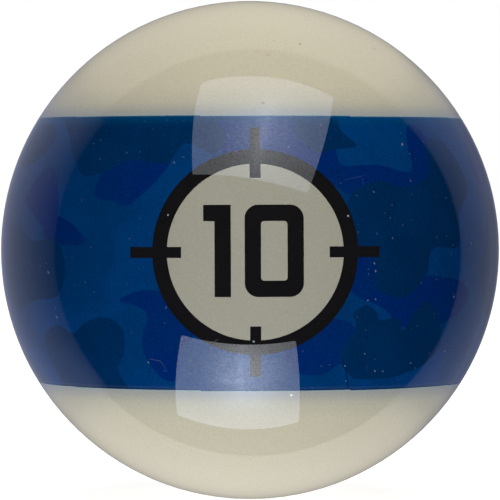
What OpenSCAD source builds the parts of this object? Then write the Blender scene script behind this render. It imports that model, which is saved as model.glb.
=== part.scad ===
// Striped pool ball, number ten, built in layers: a dense resin core, a cream shell with a shallow
// groove round its middle, nine film panels that fill the groove, a camouflage print in two tones
// on the panels, and a number disc with its ring and digits on the front and the rear. Everything
// that shows is polished flush with one sphere.
// The origin is the centre of the ball, +Z is the pole above the stripe and the number faces -Y.

/* [Ball] */
// Diameter of the finished ball
ball_d = 57.15; // [50.8:0.05:61.5]
// Diameter of the dense resin core
core_d = 40; // [30:1:44]

/* [Stripe] */
// Width of the stripe, measured along the pole axis
stripe_w = 30.2; // [29.5:0.1:32]
// Thickness of the film panels
film_t = 0.4; // [0.3:0.05:0.6]
// Thickness of the ink, which lies flush in the film
ink_t = 0.2; // [0.15:0.05:0.25]
// How far a panel may sit above or below the middle of the stripe
panel_shift = 0.12; // [0.05:0.01:0.2]

/* [Number] */
// Outer diameter of the ring
ring_d = 22.5; // [21:0.1:22.8]
// Width of the ring's black line
ring_w = 1.6; // [1.2:0.1:1.8]
// Length of the four marks that cross the ring
mark_l = 5.55; // [4.5:0.05:5.8]
// Width of the four marks
mark_w = 1.2; // [0.8:0.1:1.6]
// How far the middles of the marks lie outside the middle of the ring's line
mark_out = 0.42; // [0.3:0.02:0.46]
// Height of the digits
digit_h = 10.05; // [8:0.05:11]
// Width of a digit's stroke
stroke = 1.78; // [1.4:0.02:2]

/* [Hidden] */

ball_r = ball_d / 2;
// Cutters start inside the shell, clear of each other, and end outside the ball
cut_from = 0.55 * ball_r;
cut_to = 1.2 * ball_r;

ball_facets = 240;
ring_facets = 180;
corner_facets = 48;

panel_count = 9;
panel_angle = 360 / panel_count;
// Longitude of the first seam, counted from the middle of the number
first_seam = -14;
sides = [0, 180];
// A number or a patch is cut only from the panels whose middles lie within these angles of it
number_reach = 60;
patch_reach = 48;

// The number's axis leans up by this angle, so its middle is 0.2 mm above the stripe's
number_tilt = 0.4;
// The ring and the disc sit this far to the right of the digits' axis
ring_x = 0.09;
// The disc's edge is hidden under the middle of the ring's line
disc_r = ring_d / 2 - ring_w / 2;
zero_w = 6.45;
one_w = 3;
one_x = -5.6;
zero_x = -1.1;
digits_z = 0.15;
zero_corner_r = 1.5;
zero_hole_corner_r = 0.35;

// Camouflage patches: tone, longitude of the point they are drawn round, and an outline in
// millimetres for a 30.2 mm stripe on a 57.15 mm ball, which a smooth curve passes through. The
// second set of the same patches lies half a turn away.
camo_scale = [ball_d / 57.15, stripe_w / 30.2];
curve_steps = 5;
patches = [
    ["navy", -34, [[-9.6, 16], [-8.2, 12.8], [-6.4, 10.4], [-4.4, 8.6], [-1.6, 9], [1.5, 10.3],
        [6, 9.9], [7.7, 12.1], [11, 10.9], [11.7, 12.7], [10.4, 14.2], [8.8, 16]]],
    ["navy", -34, [[-9.4, -16], [-11.2, -13], [-12, -10.6], [-11.2, -9], [-8.5, -8],
        [-6.4, -8.9], [-4.2, -7.7], [-1.6, -7], [0.3, -7.5], [1.1, -8.9], [0.4, -11.2],
        [-0.9, -13], [-0.7, -16]]],
    ["navy", -61, [[-7, 1.5], [-3.5, 3.2], [0.8, 1.3], [5.4, 1.5], [7, -1.6], [5.2, -4.7],
        [0.8, -5.3], [-5.6, -6.6], [-7.7, -3]]],
    ["navy", -68, [[-5.5, 11], [-3.5, 14], [1.5, 14.4], [4, 12.6], [1.2, 10.2], [-3, 9.6]]],
    ["navy", 46, [[-11.6, 5.8], [-8, 7.9], [-3.8, 7.2], [0, 8.8], [0.9, 12.2], [4.6, 12],
        [7, 7.4], [4.2, 4.2], [3.6, 0.6], [-1, 0.4], [-2, -2.6], [-5, -4.9], [-8.8, -3.8],
        [-9, -0.8], [-12, 0.5]]],
    ["navy", 46, [[-10.9, -6.6], [-9.5, -5.7], [-8.2, -6.5], [-7.6, -7.4], [-5.4, -7.2],
        [-4.2, -8.6], [-3.2, -6.8], [-1.7, -5.4], [0.4, -6.7], [2, -8.8], [2.4, -10.8],
        [0.6, -12.6], [-2.8, -13.7], [-6, -14], [-9, -13.6], [-11.3, -11], [-10.3, -8.2]]],
    ["navy", 6, [[2.6, 12.2], [1.8, 14.2], [1.6, 16], [6.2, 16], [7.1, 13.5], [8.8, 11.8],
        [6.4, 11.4], [4.4, 11.1]]],
    ["navy", 80, [[-6, 2], [-4, 6.5], [-0.5, 5.2], [1.5, 1.8], [5.8, 2.4], [8, -0.8],
        [5.4, -5.2], [1.6, -4.2], [-0.6, -7.6], [-4.6, -6.4], [-7.6, -2.6]]],
    ["navy", 92, [[-6.4, 8.6], [-7, 11.6], [-3.4, 16], [2.6, 16], [3.9, 12.4], [2.2, 9.4],
        [2.8, 6.2], [-0.6, 5.2], [-2.8, 7.6]]],
    ["navy", 96, [[-6.8, -16], [-6.2, -12.4], [-2.8, -11.2], [0.6, -13.2], [3.4, -11.6],
        [5, -16]]],
    ["royal", -34, [[-2.3, 6.3], [-1.9, 8.7], [0.6, 10.4], [3, 11.4], [6.4, 10.4], [5.5, 8.3],
        [3.8, 6.5], [2.1, 5.3], [0.1, 5.8]]],
    ["royal", -34, [[-10, 2], [-9, 4.1], [-6, 3.6], [-3.2, 1.4], [-6.2, 0.9]]],
    ["royal", -34, [[1.1, -5.1], [4, -4], [7.4, -4.6], [9.4, -8.4], [7.4, -10.6], [6.2, -13.8],
        [4.2, -13.5], [3, -10.2], [4.4, -6.9], [3.2, -5.7]]],
    ["royal", -57, [[-4.2, 5.9], [-3, 7.7], [-0.6, 9.5], [1.4, 9], [2.9, 6.8], [3.4, 4.2],
        [1.6, 2.7], [-1.6, 4.4]]],
    ["royal", 46, [[-14, 8.4], [-13.4, 11], [-11.7, 10.9], [-11.2, 9.6], [-7.2, 9.7],
        [-2.9, 8.9], [-2.2, 12], [-0.7, 14.2], [1.4, 12.6], [1.6, 8], [-4, 5.6], [-11, 6.4],
        [-12.4, 7.2]]],
    ["royal", 46, [[-11.4, 1], [-7.4, 0.4], [-4.8, -3.4], [-1.6, -2.6], [4.6, -3.4], [6.4, -5.6],
        [3, -7.6], [-0.4, -8.4], [-4.3, -8.2], [-7.6, -6], [-11.6, -4]]],
    ["royal", 6, [[-9.4, 16], [-7.8, 13.4], [-6.4, 12.2], [-6.2, 10.8], [-6.8, 9.2], [-3, 8.6],
        [2, 8.4], [5.6, 9], [6.4, 11.8], [4.6, 13.4], [4.2, 16]]],
    ["royal", 6, [[0.6, -10.4], [3.4, -7.4], [7.8, -7.6], [9, -10.4], [7, -12], [4.6, -13.4],
        [1.6, -12.8]]],
    ["royal", 84, [[-8.4, 8.8], [-6.6, 12.6], [-2.4, 14.2], [1.4, 12.6], [3.4, 9.2],
        [0.8, 6.2], [-2.2, 8], [-5.8, 7]]],
    ["royal", 92, [[-7.6, -9.2], [-3.6, -6.8], [0.8, -7.6], [3.4, -6.4], [5.2, -8.2],
        [3.4, -9.9], [-0.6, -9.4], [-4.6, -10.9]]],
    ["royal", 100, [[-3.4, 1.8], [0.4, 3.6], [5.2, 2.6], [6.4, -0.8], [3.2, -2.6],
        [-0.6, -1.4]]]
];

function knot(outline, i) = outline[(i + len(outline)) % len(outline)];

// A Catmull-Rom curve from point b to point c, with its neighbours a and d
function curve_point(a, b, c, d, t) =
    b + t / 2 * (c - a + t * (2 * a - 5 * b + 4 * c - d + t * (3 * b - a - 3 * c + d)));

function smooth_outline(outline) = [
    for (i = [0 : len(outline) - 1], step = [0 : curve_steps - 1])
        let (place = curve_point(knot(outline, i - 1), knot(outline, i), knot(outline, i + 1),
            knot(outline, i + 2), step / curve_steps))
            [place[0] * camo_scale[0], place[1] * camo_scale[1]]
];

// True where two longitudes are less than this angle apart
function near(lon_a, lon_b, angle) = cos(lon_a - lon_b) > cos(angle);

function panel_start(i) = first_seam + i * panel_angle;

// The band of panels leans a little, so each steps up or down from its neighbours
function panel_lift(i) = -panel_shift * sin(i * panel_angle);

module ball(depth = 0) {
    sphere(r = ball_r - depth, $fn = ball_facets);
}

// The part of a radial cutter that lies within depth of the ball's surface
module flush_layer(depth) {
    intersection() {
        difference() {
            ball();
            ball(depth);
        }
        union() children();
    }
}

// The pocket that such a layer lies in, open to the outside
module flush_pocket(depth) {
    difference() {
        union() children();
        ball(depth);
    }
}

// Extrudes an outline outwards through the shell at a longitude, leaning up by tilt
module outwards(lon, tilt = 0) {
    rotate([0, 0, lon])
        rotate([90 - tilt, 0, 0])
            translate([0, 0, cut_from])
                linear_extrude(height = cut_to - cut_from)
                    children();
}

// The wedge of the stripe that panel i fills, from the centre of the ball to past its surface
module panel_space(i) {
    from = panel_start(i) - 90;
    to = from + panel_angle;
    reach = cut_to / cos(panel_angle / 2);
    translate([0, 0, panel_lift(i) - stripe_w / 2])
        linear_extrude(height = stripe_w)
            polygon([[0, 0], reach * [cos(from), sin(from)], reach * [cos(to), sin(to)]]);
}

module stripe_space() {
    for (i = [0 : panel_count - 1])
        panel_space(i);
}

module rounded_rectangle(size, corner_r) {
    square([size[0] - 2 * corner_r, size[1]], center = true);
    square([size[0], size[1] - 2 * corner_r], center = true);
    for (x = [-1, 1], y = [-1, 1])
        translate([x * (size[0] / 2 - corner_r), y * (size[1] / 2 - corner_r)])
            circle(r = corner_r, $fn = corner_facets);
}

module ring_outline() {
    ring_mid_r = (ring_d - ring_w) / 2;
    difference() {
        circle(d = ring_d, $fn = ring_facets);
        circle(d = ring_d - 2 * ring_w, $fn = ring_facets);
    }
    for (turn = [0 : 90 : 270])
        rotate(turn)
            translate([ring_mid_r + mark_out, 0])
                square([mark_l, mark_w], center = true);
}

// The digit one: a stem with a square flag to the left of its top
module one_outline() {
    translate([one_x, digits_z - digit_h / 2])
        polygon([[one_w - stroke, 0], [one_w, 0], [one_w, digit_h], [0, digit_h],
            [0, digit_h - stroke], [one_w - stroke, digit_h - stroke]]);
}

module zero_outline() {
    translate([zero_x + zero_w / 2, digits_z])
        difference() {
            rounded_rectangle([zero_w, digit_h], zero_corner_r);
            rounded_rectangle([zero_w - 2 * stroke, digit_h - 2 * stroke], zero_hole_corner_r);
        }
}

module disc_space(lon) {
    outwards(lon, number_tilt)
        translate([ring_x, 0])
            circle(r = disc_r, $fn = ring_facets);
}

module ring_space(lon) {
    outwards(lon, number_tilt)
        translate([ring_x, 0])
            ring_outline();
}

module digit_one_space(lon) {
    outwards(lon, number_tilt)
        one_outline();
}

module digit_zero_space(lon) {
    outwards(lon, number_tilt)
        zero_outline();
}

module patch_space(patch, side) {
    outwards(patch[1] + side)
        polygon(smooth_outline(patch[2]));
}

// Every patch of a tone
module camo_space(tone) {
    for (side = sides, patch = patches)
        if (patch[0] == tone)
            patch_space(patch, side);
}

module resin_core() {
    color("dimgray")
        sphere(d = core_d, $fn = ball_facets);
}

module cream_shell() {
    color([0.82, 0.8, 0.72])
        difference() {
            ball();
            sphere(d = core_d, $fn = ball_facets);
            flush_pocket(film_t)
                stripe_space();
        }
}

module stripe_film(i) {
    middle = panel_start(i) + panel_angle / 2;
    color([0, 0.22, 0.43])
        difference() {
            flush_layer(film_t)
                panel_space(i);
            for (side = sides)
                if (near(side, middle, number_reach))
                    disc_space(side);
            flush_pocket(ink_t) {
                for (side = sides)
                    if (near(side, middle, number_reach))
                        ring_space(side);
                for (side = sides, patch = patches)
                    if (near(patch[1] + side, middle, patch_reach))
                        patch_space(patch, side);
            }
        }
}

module navy_camo_print() {
    color([0, 0.14, 0.28])
        difference() {
            flush_layer(ink_t)
                intersection() {
                    camo_space("navy");
                    stripe_space();
                }
            for (side = sides) {
                disc_space(side);
                ring_space(side);
            }
        }
}

module royal_camo_print() {
    color([0, 0.1, 0.42])
        difference() {
            flush_layer(ink_t)
                intersection() {
                    camo_space("royal");
                    stripe_space();
                }
            camo_space("navy");
            for (side = sides) {
                disc_space(side);
                ring_space(side);
            }
        }
}

module number_disc(lon) {
    color([0.84, 0.83, 0.76])
        difference() {
            flush_layer(film_t)
                disc_space(lon);
            flush_pocket(ink_t) {
                ring_space(lon);
                digit_one_space(lon);
                digit_zero_space(lon);
            }
        }
}

module number_ring(lon) {
    color([0.07, 0.07, 0.08])
        flush_layer(ink_t)
            ring_space(lon);
}

module digit_one(lon) {
    color([0.07, 0.07, 0.08])
        flush_layer(ink_t)
            digit_one_space(lon);
}

module digit_zero(lon) {
    color([0.07, 0.07, 0.08])
        flush_layer(ink_t)
            digit_zero_space(lon);
}

resin_core();
cream_shell();
for (i = [1 : panel_count])
    stripe_film(i - 1);
navy_camo_print();
royal_camo_print();
number_disc(0);  // front_number_disc
number_ring(0);  // front_number_ring
digit_one(0);  // front_digit_one
digit_zero(0);  // front_digit_zero
number_disc(180);  // rear_number_disc
number_ring(180);  // rear_number_ring
digit_one(180);  // rear_digit_one
digit_zero(180);  // rear_digit_zero
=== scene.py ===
"""Looks of the striped pool ball: materials for its CAD pieces, studio light, floor and camera.

Every length is in metres and every angle in degrees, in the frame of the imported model: the ball's
centre is the origin, +Z is the pole above the stripe, and the number faces -Y.
"""
import math

import bpy
from mathutils import Euler, Matrix, Vector


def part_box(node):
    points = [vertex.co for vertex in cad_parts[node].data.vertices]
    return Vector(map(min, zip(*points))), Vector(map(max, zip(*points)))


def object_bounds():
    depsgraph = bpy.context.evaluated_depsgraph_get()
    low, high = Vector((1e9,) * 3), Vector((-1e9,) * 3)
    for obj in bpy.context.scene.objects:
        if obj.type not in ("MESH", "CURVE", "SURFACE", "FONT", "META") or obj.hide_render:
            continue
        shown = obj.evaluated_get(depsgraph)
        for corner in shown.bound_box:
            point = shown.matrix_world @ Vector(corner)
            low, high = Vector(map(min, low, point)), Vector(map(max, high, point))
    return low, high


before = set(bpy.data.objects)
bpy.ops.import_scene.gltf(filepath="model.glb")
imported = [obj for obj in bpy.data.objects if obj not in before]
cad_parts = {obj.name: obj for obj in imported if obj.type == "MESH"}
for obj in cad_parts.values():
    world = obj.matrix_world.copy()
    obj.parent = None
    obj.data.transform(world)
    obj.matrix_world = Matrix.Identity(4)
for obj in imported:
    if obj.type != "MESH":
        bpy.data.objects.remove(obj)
cad_lo, cad_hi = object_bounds()

MM = 0.001
centre = (cad_lo + cad_hi) / 2
ball_r = (cad_hi.x - cad_lo.x) / 2
# The band of nine panels leans a little, so each panel sits above or below its neighbours
FIRST_SEAM = -14.0
PANEL_ANGLE = 40.0
first_lo, first_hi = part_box("stripe_film_1")
second_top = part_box("stripe_film_2")[1][2]
stripe_top, stripe_bottom = first_hi[2], first_lo[2]
panel_lift = (stripe_top - second_top) / math.sin(math.radians(PANEL_ANGLE))


# ---------------------------------------------------------------- node helpers

class Graph:
    """Builds a node tree. A value passed in is a number, a tuple or another node's output."""

    def __init__(self, tree):
        self.tree = tree
        tree.nodes.clear()

    def node(self, kind, inputs=None, **settings):
        made = self.tree.nodes.new(kind)
        for key, value in settings.items():
            setattr(made, key, value)
        for key, value in (inputs or {}).items():
            self.feed(made.inputs[key], value)
        return made

    def feed(self, socket, value):
        if isinstance(value, bpy.types.NodeSocket):
            self.tree.links.new(value, socket)
        else:
            socket.default_value = value

    def math(self, operation, *values, clamp=False):
        made = self.node("ShaderNodeMath", operation=operation, use_clamp=clamp)
        for socket, value in zip(made.inputs, values):
            self.feed(socket, value)
        return made.outputs[0]

    def vector(self, operation, a, b=None, scale=None):
        made = self.node("ShaderNodeVectorMath", operation=operation)
        self.feed(made.inputs[0], a)
        if b is not None:
            self.feed(made.inputs[1], b)
        if scale is not None:
            self.feed(made.inputs["Scale"], scale)
        return made.outputs["Value" if operation in ("DOT_PRODUCT", "LENGTH") else "Vector"]

    def ramp(self, value, start, end, low=0.0, high=1.0):
        """A smooth step from low to high as value goes from start to end."""
        made = self.node("ShaderNodeMapRange", interpolation_type="SMOOTHSTEP")
        for key, number in (("Value", value), ("From Min", start), ("From Max", end),
                            ("To Min", low), ("To Max", high)):
            self.feed(made.inputs[key], number)
        return made.outputs["Result"]

    def mix(self, amount, a, b):
        made = self.node("ShaderNodeMix", data_type="RGBA")
        colours = [socket for socket in made.inputs if socket.type == "RGBA"]
        self.feed(made.inputs[0], amount)
        self.feed(colours[0], rgba(a))
        self.feed(colours[1], rgba(b))
        return [socket for socket in made.outputs if socket.type == "RGBA"][0]

    def tint(self, colour, amount):
        """Multiplies a colour by an amount."""
        return self.vector("SCALE", colour, scale=amount)

    def noise(self, place, size, detail=2.0, rough=0.5):
        """Noise from 0 to 1 whose features are about this size."""
        made = self.node("ShaderNodeTexNoise", {
            "Vector": place, "Scale": 1 / size, "Detail": detail, "Roughness": rough})
        return made.outputs[0]

    def bell(self, value, middle, width):
        """1 where value is at the middle, falling away on both sides."""
        away = self.math("DIVIDE", self.math("SUBTRACT", value, middle), width)
        return self.math("EXPONENT", self.math("MULTIPLY", self.math("MULTIPLY", away, away), -1.0))


def rgba(colour):
    return (*colour, 1.0) if isinstance(colour, tuple) and len(colour) == 3 else colour


# ---------------------------------------------------------------- marks and dust

def specks(g, place, cell, radius, share, seed):
    """Specks of up to this radius in this share of the cells, each drawn out some way and most of
    them faint."""
    shifted = g.vector("ADD", place, (seed, seed * 1.7, -seed))
    cells = g.node("ShaderNodeTexVoronoi", {"Vector": shifted, "Scale": 1 / cell})
    colour = cells.outputs["Color"]
    parts = g.node("ShaderNodeSeparateColor", {"Color": colour}).outputs
    chosen = g.math("LESS_THAN", parts["Red"], share)
    size = g.math("MULTIPLY_ADD", parts["Green"], 0.5 * radius, 0.5 * radius)
    from_middle = g.vector("SUBTRACT", shifted, cells.outputs["Position"])
    drawn_out = g.vector("NORMALIZE", g.vector("SUBTRACT", colour, (0.5, 0.5, 0.5)))
    lengthwise = g.vector("DOT_PRODUCT", from_middle, drawn_out)
    squared = g.math("SUBTRACT", g.vector("DOT_PRODUCT", from_middle, from_middle),
                     g.math("MULTIPLY", g.math("MULTIPLY", lengthwise, lengthwise), 0.75))
    away = g.math("SQRT", g.math("MAXIMUM", squared, 0.0))
    inside = g.ramp(g.math("DIVIDE", away, size), 1.2, 0.3)
    faint = g.math("MULTIPLY_ADD", g.math("POWER", parts["Blue"], 3.0), 0.8, 0.2)
    return g.math("MULTIPLY", g.math("MULTIPLY", inside, chosen), faint)


def hairlines(g, place, spacing, width, share, seed):
    """Short thin scratches, which follow the contours of a noise field."""
    shifted = g.vector("ADD", place, (seed, -seed, seed * 1.3))
    field = g.noise(shifted, spacing, detail=0.0)
    away = g.math("ABSOLUTE", g.math("SUBTRACT", field, 0.5))
    line = g.ramp(away, width / spacing, 0.3 * width / spacing)
    gate = g.noise(shifted, spacing * 0.45, detail=1.0)
    return g.math("MULTIPLY", line, g.ramp(gate, 1 - share, 1 - share + 0.04))


def above_stripe(g, place):
    """Heights above the top and below the bottom of the panel at this longitude."""
    parts = g.node("ShaderNodeSeparateXYZ", {"Vector": place}).outputs
    longitude = g.math("ARCTAN2", parts["X"], g.math("MULTIPLY", parts["Y"], -1.0))
    from_seam = g.math("SUBTRACT", longitude, math.radians(FIRST_SEAM))
    wide = math.radians(PANEL_ANGLE)
    panel = g.math("FLOOR", g.math("DIVIDE", from_seam, wide))
    down = g.math("SINE", g.math("MULTIPLY", panel, wide))
    height = g.math("MULTIPLY_ADD", down, panel_lift, parts["Z"])
    return g.math("SUBTRACT", height, stripe_top), g.math("SUBTRACT", stripe_bottom, height)


def on_front(x, z):
    """The point of the front of the ball at these millimetres right of and above its middle."""
    place = Vector((x * MM, 0, z * MM))
    return Vector((place.x, -math.sqrt(ball_r ** 2 - place.length_squared), place.z))


def stroke(g, place, start, end, radius):
    """A mark with round ends from one point to another, on the front, in millimetres."""
    a, b = on_front(*start), on_front(*end)
    along = b - a
    from_a = g.vector("SUBTRACT", place, tuple(a))
    share = g.math("DIVIDE", g.vector("DOT_PRODUCT", from_a, tuple(along)),
                   max(along.length_squared, 1e-12), clamp=True)
    nearest = g.vector("SCALE", tuple(along), scale=share)
    away = g.vector("LENGTH", g.vector("SUBTRACT", from_a, nearest))
    return g.ramp(away, radius * MM * 1.3, radius * MM * 0.6)


def spot(g, place, x, z, radius):
    """A round mark on the front, in millimetres."""
    away = g.vector("LENGTH", g.vector("SUBTRACT", place, tuple(on_front(x, z))))
    return g.ramp(away, radius * MM * 1.3, radius * MM * 0.5)


def lay_over(g, colour, layers):
    """Paints each (mask, strength, colour) over the colour below it."""
    for mask, strength, top in layers:
        colour = g.mix(g.math("MULTIPLY", mask, strength), colour, top)
    return colour


# ---------------------------------------------------------------- materials

WHITE_DUST = (0.62, 0.66, 0.7)
BROWN_DUST = (0.16, 0.12, 0.07)
POLISH = 0.012         # roughness of the polished surface
IOR = 1.5              # about that of polished resin
GRAIN_SIZE = 0.22 * MM
GLOSS_GRAIN = 0.2      # how much the gloss varies from grain to grain, either way


def polished(name, paint, roughness=POLISH, grain=0.12, scratches=1.0, gloss_tint=(1.0, 1.0, 1.0)):
    """A polished resin or ink. paint(g, place) gives its colour, before the fine grain."""
    material = bpy.data.materials.new(name)
    material.use_nodes = True
    g = Graph(material.node_tree)
    place = g.node("ShaderNodeTexCoord").outputs["Object"]
    colour = paint(g, place)
    fine = g.noise(place, GRAIN_SIZE, detail=1.0)
    colour = g.tint(colour, g.math("MULTIPLY_ADD", fine, 2 * grain, 1 - grain))

    # Another noise varies the gloss, taken at the opposite point so that the two don't match
    finer = g.noise(g.vector("SCALE", place, scale=-1.0), 0.8 * GRAIN_SIZE, detail=0.0)

    # All pieces are polished as one sphere, so its own normal carries the gloss across the seams
    outward = g.vector("NORMALIZE", place)
    turned = g.node("ShaderNodeVectorTransform", {"Vector": outward}, vector_type="NORMAL",
                    convert_from="OBJECT", convert_to="WORLD").outputs[0]
    on_sphere = g.ramp(g.vector("LENGTH", place), ball_r - 0.07 * MM, ball_r - 0.05 * MM)
    meshed = g.node("ShaderNodeNewGeometry").outputs["Normal"]
    normal = g.vector("ADD", g.vector("SCALE", turned, scale=on_sphere),
                      g.vector("SCALE", meshed, scale=g.math("SUBTRACT", 1.0, on_sphere)))

    smudge = g.noise(place, 9 * MM, detail=3.0)
    gloss = g.ramp(smudge, 0.35, 0.75, roughness, roughness * 1.6)
    scratch = hairlines(g, place, 11 * MM, 0.025 * MM, 0.36, 0.31)
    peel = g.noise(place, 4 * MM, detail=0.0)
    height = g.math("MULTIPLY_ADD", scratch, -0.6 * scratches, g.math("MULTIPLY", peel, 0.25))
    bump = g.node("ShaderNodeBump", {
        "Strength": 1.0, "Distance": 1e-6, "Height": height, "Normal": normal})

    shader = g.node("ShaderNodeBsdfPrincipled", {
        "Base Color": colour, "Roughness": gloss, "IOR": IOR, "Normal": bump.outputs[0],
        "Specular IOR Level": g.math("MULTIPLY_ADD", finer, 2 * GLOSS_GRAIN, 0.5 - GLOSS_GRAIN),
        "Specular Tint": rgba(gloss_tint)})
    out = g.node("ShaderNodeOutputMaterial")
    g.tree.links.new(shader.outputs[0], out.inputs["Surface"])
    return material


CREAM = (0.70, 0.65, 0.49)
CREAM_WARM = (0.68, 0.62, 0.455)
# Painted shade of the stripe on the cream: darker and greyer towards the stripe, bluer right beside
# it
CREAM_SHADED_BY_STRIPE = (0.515, 0.512, 0.412)
STRIPE_EDGE = (0.3, 0.48, 0.5)
STRIPE_SHADE = (0.25, 0.28, 0.38)


def cream_paint(g, place):
    from_stripe = g.math("MAXIMUM", *above_stripe(g, place))
    colour = g.mix(g.noise(place, 14 * MM, detail=3.0), CREAM, CREAM_WARM)
    # Painted shade: the cream darkens and greys over the last 3.8 mm before the stripe, and turns
    # bluer over the last 1.7 mm
    shade = g.ramp(from_stripe, 3.8 * MM, 0.0)
    shade_close = g.ramp(from_stripe, 1.7 * MM, 0.0)
    edge = g.ramp(from_stripe, 0.2 * MM, 0.0)
    return lay_over(g, colour, [
        (shade, 0.75, CREAM_SHADED_BY_STRIPE),
        (shade_close, 0.43, STRIPE_SHADE),
        (edge, 0.8, STRIPE_EDGE),
        (specks(g, place, 1.6 * MM, 0.13 * MM, 0.4, 0.11), 0.3, BROWN_DUST),
        (spot(g, place, 5.36, 23.18, 0.16), 0.6, BROWN_DUST),
        (spot(g, place, 1.74, 21.91, 0.14), 0.35, BROWN_DUST),
        (spot(g, place, 1.06, 16.5, 0.2), 0.4, BROWN_DUST),
        (stroke(g, place, (13.7, 22.85), (14.1, 22.65), 0.1), 0.35, BROWN_DUST),
        (spot(g, place, 4.05, -15.6, 0.16), 1.0, (1.0, 1.0, 1.0)),
    ])


FILM_BLUE = (0.0, 0.047, 0.19)
FILM_DEEP = (0.0, 0.041, 0.162)
NAVY = (0.0, 0.027, 0.104)
ROYAL = (0.0, 0.0225, 0.158)
EDGE_GLOW = (0.0, 0.075, 0.2)


def blue_paint(base, deep):
    """Paint for the film or one of its two inks, with the same marks running across all three."""
    def paint(g, place):
        above, below = above_stripe(g, place)
        colour = g.mix(g.ramp(g.noise(place, 7 * MM, detail=2.0), 0.42, 0.58), base, deep)
        top_glow = g.ramp(above, -1.3 * MM, 0.0)
        top_edge = g.ramp(above, -0.16 * MM, -0.02 * MM)
        bottom_glow = g.ramp(below, -0.5 * MM, -0.3 * MM)
        bottom_edge = g.ramp(below, -0.24 * MM, -0.08 * MM)
        dusty = g.ramp(g.noise(place, 10 * MM, detail=1.0), 0.44, 0.58, 0.25, 1.0)
        dust = g.math("MULTIPLY", specks(g, place, 1.0 * MM, 0.14 * MM, 0.5, 0.23), dusty)
        return lay_over(g, colour, [
            (top_glow, 0.55, EDGE_GLOW),
            (top_edge, 0.14, STRIPE_EDGE),
            (bottom_glow, 0.02, WHITE_DUST),
            (bottom_edge, 0.6, (0.0, 0.012, 0.05)),
            (hairlines(g, place, 9 * MM, 0.03 * MM, 0.3, 0.57), 0.05, WHITE_DUST),
            (dust, 0.38, WHITE_DUST),
            (stroke(g, place, (-11.46, -11.56), (-10.36, -11.77), 0.04), 0.09, WHITE_DUST),
            (stroke(g, place, (-10.36, -11.77), (-9.92, -12.32), 0.04), 0.06, WHITE_DUST),
            (stroke(g, place, (-9.92, -12.32), (-9.59, -13.0), 0.04), 0.045, WHITE_DUST),
            (stroke(g, place, (9.95, 8.02), (11.86, 8.45), 0.04), 0.045, WHITE_DUST),
            (stroke(g, place, (11.9, 8.2), (12.0, 7.5), 0.05), 0.03, WHITE_DUST),
            (stroke(g, place, (10.0, -12.6), (10.35, -14.9), 0.07), 0.8, (0.0, 0.008, 0.03)),
            (spot(g, place, 9.96, -12.41, 0.1), 0.3, WHITE_DUST),
            (spot(g, place, 10.1, -14.1, 0.08), 0.25, WHITE_DUST),
            (spot(g, place, 7.37, 14.09, 0.15), 0.6, BROWN_DUST),
            (spot(g, place, 3.8, 11.67, 0.1), 0.25, WHITE_DUST),
            (spot(g, place, -7.01, -11.69, 0.12), 0.5, BROWN_DUST),
        ])
    return paint


DISC_CREAM = (0.482, 0.463, 0.368)
DISC_SHADED = (0.458, 0.443, 0.352)
INK_BLACK = (0.0075, 0.007, 0.0078)
INK_GREY = (0.012, 0.011, 0.012)


def disc_paint(g, place):
    colour = g.mix(g.noise(place, 8 * MM, detail=2.0), DISC_CREAM, DISC_SHADED)
    return lay_over(g, colour, [
        (specks(g, place, 1.8 * MM, 0.08 * MM, 0.3, 0.43), 0.2, BROWN_DUST),
    ])


def ink_paint(g, place):
    colour = g.mix(g.noise(place, 3 * MM, detail=3.0), INK_BLACK, INK_GREY)
    return lay_over(g, colour, [
        (specks(g, place, 1.6 * MM, 0.1 * MM, 0.4, 0.77), 0.25, WHITE_DUST),
        (spot(g, place, 10.24, 4.09, 0.12), 0.7, WHITE_DUST),
        (spot(g, place, -9.42, 4.27, 0.12), 0.5, WHITE_DUST),
        (spot(g, place, -0.12, -9.57, 0.12), 0.7, WHITE_DUST),
    ])


def core_paint(g, place):
    return g.mix(g.noise(place, 6 * MM, detail=4.0), (0.17, 0.163, 0.155), (0.22, 0.21, 0.2))


cream = polished("cream resin", cream_paint)
film = polished("blue film", blue_paint(FILM_BLUE, FILM_DEEP), grain=0.4)
navy = polished("navy ink", blue_paint(NAVY, (0.0, 0.03, 0.115)), grain=0.4)
royal = polished("royal ink", blue_paint(ROYAL, (0.0, 0.025, 0.148)), grain=0.4)
disc = polished("disc film", disc_paint)
black = polished("black ink", ink_paint, grain=0.3, gloss_tint=(1.0, 0.93, 0.78))
core = polished("dense resin", core_paint, roughness=0.5)

finish_of = {"resin_core": core, "cream_shell": cream, "navy_camo_print": navy,
             "royal_camo_print": royal}
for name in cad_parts:
    if name.startswith("stripe_film"):
        finish_of[name] = film
    elif name.endswith("number_disc"):
        finish_of[name] = disc
    elif name.endswith(("number_ring", "digit_one", "digit_zero")):
        finish_of[name] = black

for name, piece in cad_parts.items():
    for slot in piece.material_slots:
        slot.material = finish_of[name]


# ---------------------------------------------------------------- softboxes

# The tint of the softboxes as the gloss shows it
COOL = (1.0, 1.13, 1.42)
WHITE = (1.0, 1.0, 1.0)


def place_of(position, turn):
    return Matrix.LocRotScale(Vector(position), Euler([math.radians(a) for a in turn]), None)


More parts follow.
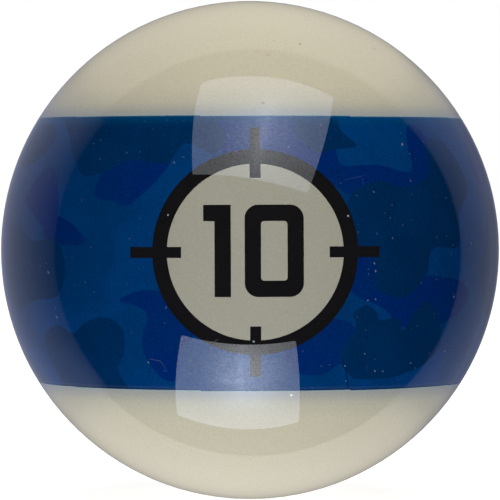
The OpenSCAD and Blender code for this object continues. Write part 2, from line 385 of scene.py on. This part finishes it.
def softbox(name, position, turn, size, corner, watts, tint, glow):
    """A light and the face that the ball's gloss mirrors, both facing the ball."""
    width, height = size
    lamp = bpy.data.lights.new(name, "AREA")
    lamp.shape = "RECTANGLE"
    lamp.size, lamp.size_y = size
    lamp.energy = watts
    lamp.color = tint
    light = bpy.data.objects.new(name, lamp)
    light.matrix_world = place_of(position, turn)
    light.visible_glossy = False
    light.visible_camera = False
    bpy.context.scene.collection.objects.link(light)

    outline = []
    for quarter, (sx, sy) in enumerate(((1, 1), (-1, 1), (-1, -1), (1, -1))):
        for step in range(7):
            a = math.radians(90 * quarter + 15 * step)
            outline.append((sx * (width / 2 - corner) + corner * math.cos(a),
                            sy * (height / 2 - corner) + corner * math.sin(a), 0.0))
    mesh = bpy.data.meshes.new(name + "_face")
    mesh.from_pydata(outline, [], [list(range(len(outline)))])
    face = bpy.data.objects.new(name + "_face", mesh)
    face.matrix_world = place_of(position, turn)
    face.visible_camera = False
    face.visible_diffuse = False
    face.visible_shadow = False
    bpy.context.scene.collection.objects.link(face)

    material = bpy.data.materials.new(name + " glow")
    material.use_nodes = True
    g = Graph(material.node_tree)
    local = g.node("ShaderNodeTexCoord").outputs["Object"]
    share = g.vector("MULTIPLY", local, (2 / width, 2 / height, 1.0))
    parts = g.node("ShaderNodeSeparateXYZ", {"Vector": share})
    x, y = parts.outputs["X"], parts.outputs["Y"]
    total = glow["base"]
    for strength, (mid_x, wide_x), (mid_y, wide_y) in glow["bells"]:
        bell = g.math("MULTIPLY", g.bell(x, mid_x, wide_x), g.bell(y, mid_y, wide_y))
        total = g.math("MULTIPLY_ADD", bell, strength, total)
    emission = g.node("ShaderNodeEmission", {"Color": rgba(COOL), "Strength": total})
    out = g.node("ShaderNodeOutputMaterial")
    g.tree.links.new(emission.outputs[0], out.inputs["Surface"])
    mesh.materials.append(material)


# A softbox's glow is brightest round the lamp behind its cloth: each bell is a strength, then a
# middle and a width across and along the face, as shares of half its size
softbox("softbox_above", (0.0227, -0.2906, 0.5244), (38.24, 12.24, -0.93), (0.586, 0.606), 0.004,
        3.63, WHITE, {
    "base": 1.6,
    "bells": [
        (1.8, (0.12, 0.5), (-0.2, 0.7)),
        (1.0, (0.12, 0.09), (-0.2, 0.6)),
    ]})
softbox("softbox_below", (-0.07, -0.2603, -0.6247), (140.93, 1.37, -2.13), (0.584, 0.592), 0.012,
        4.69, (0.97, 1.0, 1.055), {
    "base": 2.15,
    "bells": [
        (3.5, (0.13, 0.5), (0.4, 0.7)),
        (1.0, (0.08, 0.06), (0.5, 0.5)),
        (0.8, (-0.05, 0.2), (0.3, 0.06)),
    ]})


# ---------------------------------------------------------------- surroundings

# The white backdrop that the ball mirrors behind it. A round edge and a straight one bound it
# above and below, and each of its two ends, left and right of the ball, has an edge of its own
# from which its brightness rises. It is brighter above and below than at the sides, except near
# its middle.
# The softness and the cut of an end are (a, b, c) for a + b z + c z^2, z being the height of the
# direction that is looked in.
BACKDROP_ROUND = (-0.0256, 1.001, 0.0195)
BACKDROP_ROUND_FROM = 0.292
BACKDROP_STRAIGHT = (-0.464, 1.01, 0.071)
LEFT_END = {"across": (-0.379, 1.0, -0.035), "start": 0.354, "soft": (0.643, 0.036, -0.798),
            "cut": (0.203, -0.049, -0.241)}
RIGHT_END = {"across": (0.094, 1.0, 0.033), "start": 0.084, "soft": (0.611, 0.025, -0.297),
             "cut": (0.356, -0.017, -0.287)}
BACKDROP_LEFT = 0.336
BACKDROP_RIGHT = 0.246
BACKDROP_ABOVE = 0.65
BACKDROP_BELOW = 0.9
BACKDROP_COOL = (0.94, 1.02, 1.38)
BACKDROP_WARM = (1.0, 0.95, 0.9)
STEEP_FROM, STEEP_TO = 0.56, 0.8      # where a way turns from the sides to above or below
FRONT_DARK = 0.002                    # the dark room in front of the ball

world = bpy.data.worlds.new("studio")
bpy.context.scene.world = world
world.use_nodes = True
g = Graph(world.node_tree)
way = g.node("ShaderNodeTexCoord").outputs["Generated"]
way_parts = g.node("ShaderNodeSeparateXYZ", {"Vector": way}).outputs
way_x, way_z = way_parts["X"], way_parts["Z"]
softness = g.ramp(way_x, -0.92, -0.6, 0.2, 0.012)
inside_round = g.math("SUBTRACT", g.vector("DOT_PRODUCT", way, BACKDROP_ROUND),
                      BACKDROP_ROUND_FROM)
round_edge = g.ramp(g.math("DIVIDE", inside_round, softness), -0.3, 0.7)
straight_edge = g.ramp(g.vector("DOT_PRODUCT", way, BACKDROP_STRAIGHT), -0.07, -0.03)
z_squared = g.math("MULTIPLY", way_z, way_z)


def by_height(a, b, c):
    """a + b z + c z^2 for the direction that is looked in."""
    return g.math("MULTIPLY_ADD", z_squared, c, g.math("MULTIPLY_ADD", way_z, b, a))


def backdrop_end(across, start, soft, cut):
    """How much of the backdrop shows: 0 past the cut at its end, rising softly to 1 inwards."""
    inside = g.math("SUBTRACT", g.vector("DOT_PRODUCT", way, across), start)
    rise = g.ramp(g.math("DIVIDE", inside, g.math("MAXIMUM", by_height(*soft), 0.02)), 0.0, 1.0)
    edge = g.ramp(g.math("SUBTRACT", inside, by_height(*cut)), 0.0, 0.05)
    return g.math("MULTIPLY", rise, edge)


# The ends hold near the ball's own level, and the round and straight edges elsewhere
near_level = g.ramp(g.math("ABSOLUTE", way_z), 0.72, 0.6)
at_left = g.math("MULTIPLY", g.ramp(way_x, -0.35, -0.5), near_level)
at_right = g.math("MULTIPLY", g.ramp(way_x, 0.35, 0.5), near_level)
elsewhere = g.math("SUBTRACT", g.math("SUBTRACT", 1.0, at_left), at_right)
white = g.math("MULTIPLY", elsewhere, g.math("MULTIPLY", round_edge, straight_edge))
white = g.math("MULTIPLY_ADD", at_left, backdrop_end(**LEFT_END), white)
white = g.math("MULTIPLY_ADD", at_right, backdrop_end(**RIGHT_END), white)
sideways = g.math("SQRT", g.math("ADD", g.math("MULTIPLY", way_x, way_x),
                                 g.math("MULTIPLY", way_z, way_z)))
upright = g.math("DIVIDE", way_z, g.math("MAXIMUM", sideways, 0.2))
side = g.math("MULTIPLY_ADD", z_squared, g.ramp(way_x, -0.3, 0.3, 0.16, 0.32),
              g.ramp(way_x, -0.3, 0.3, BACKDROP_LEFT, BACKDROP_RIGHT))

# Straight behind the ball it is a little darker, which shows along the ball's outline
grazing = g.math("MULTIPLY", g.ramp(way_parts["Y"], 0.84, 0.94),
                 g.ramp(way_x, -0.3, 0.3, 0.09, 0.28))
side = g.math("MULTIPLY", side, g.math("SUBTRACT", 1.0, grazing))
above = g.math("MULTIPLY", g.ramp(upright, STEEP_FROM, STEEP_TO, 0.0, BACKDROP_ABOVE),
               g.ramp(sideways, 0.2, 0.75, 0.55, 1.0))
below = g.math("MULTIPLY", g.ramp(upright, -STEEP_FROM, -STEEP_TO, 0.0, BACKDROP_BELOW),
               g.ramp(sideways, 0.2, 0.95, 0.35, 1.0))
level = g.math("MAXIMUM", side, g.math("MAXIMUM", above, below))
steep = g.ramp(g.math("ABSOLUTE", upright), STEEP_FROM, STEEP_TO)
seen_by_ball = g.node("ShaderNodeBackground", {
    "Color": g.mix(steep, BACKDROP_COOL, BACKDROP_WARM),
    "Strength": g.math("MULTIPLY_ADD", white, level, FRONT_DARK)})
seen_by_camera = g.node("ShaderNodeBackground", {"Color": rgba((1.0, 1.0, 1.0)), "Strength": 1.0})
either = g.node("ShaderNodeMixShader")
g.feed(either.inputs[0], g.node("ShaderNodeLightPath").outputs["Is Camera Ray"])
g.feed(either.inputs[1], seen_by_ball.outputs[0])
g.feed(either.inputs[2], seen_by_camera.outputs[0])
out = g.node("ShaderNodeOutputWorld")
g.tree.links.new(either.outputs[0], out.inputs["Surface"])

# A pale floor under the ball, which only the camera sees, so the light from below passes it
FLOOR_R = 6.0
floor_mesh = bpy.data.meshes.new("floor")
rim = [(FLOOR_R * math.cos(math.radians(a)), FLOOR_R * math.sin(math.radians(a)), 0.0)
       for a in range(0, 360, 3)]
floor_mesh.from_pydata(rim, [], [list(range(len(rim)))])
floor = bpy.data.objects.new("floor", floor_mesh)
floor.location = (centre.x, centre.y, cad_lo.z)
for ray in ("diffuse", "glossy", "transmission", "shadow"):
    setattr(floor, "visible_" + ray, False)
bpy.context.scene.collection.objects.link(floor)

paper = bpy.data.materials.new("pale floor")
paper.use_nodes = True
g = Graph(paper.node_tree)
spot_place = g.node("ShaderNodeTexCoord").outputs["Object"]
away = g.vector("LENGTH", spot_place)
own_light = g.ramp(away, 0.5 * ball_r, 2.2 * ball_r, 0.8, 1.0)
fibre = g.math("MULTIPLY_ADD", g.noise(spot_place, 1.5 * MM, detail=3.0), 0.02, 0.99)
glow = g.node("ShaderNodeEmission", {"Color": rgba((1.0, 1.0, 1.0)),
                                     "Strength": g.math("MULTIPLY", own_light, fibre)})
matte = g.node("ShaderNodeBsdfDiffuse", {"Color": rgba((0.5, 0.5, 0.5))})
both = g.node("ShaderNodeAddShader")
g.feed(both.inputs[0], glow.outputs[0])
g.feed(both.inputs[1], matte.outputs[0])
out = g.node("ShaderNodeOutputMaterial")
g.tree.links.new(both.outputs[0], out.inputs["Surface"])
floor_mesh.materials.append(paper)


# ---------------------------------------------------------------- camera

CAMERA_AZIMUTH = -1.05
CAMERA_ELEVATION = 0.9
CAMERA_ROLL = -0.2
CAMERA_FAR = 18.5      # distance from the ball's centre, in ball radii
FILL = 0.996           # share of half the picture that the ball's outline reaches

camera_data = bpy.data.cameras.new("camera")
camera_data.sensor_width = 36.0
camera_data.lens = FILL * camera_data.sensor_width / 2 * math.sqrt(CAMERA_FAR ** 2 - 1)
camera_data.dof.use_dof = False
camera = bpy.data.objects.new("camera", camera_data)
azimuth, elevation = math.radians(CAMERA_AZIMUTH), math.radians(CAMERA_ELEVATION)
back = Vector((math.sin(azimuth) * math.cos(elevation),
               -math.cos(azimuth) * math.cos(elevation),
               math.sin(elevation)))
looking = (-back).to_track_quat("-Z", "Y").to_matrix().to_4x4()
rolled = looking @ Matrix.Rotation(math.radians(CAMERA_ROLL), 4, "Z")
camera.matrix_world = Matrix.Translation(centre + back * CAMERA_FAR * ball_r) @ rolled
bpy.context.scene.collection.objects.link(camera)
bpy.context.scene.camera = camera

bpy.context.scene.view_settings.view_transform = "Standard"
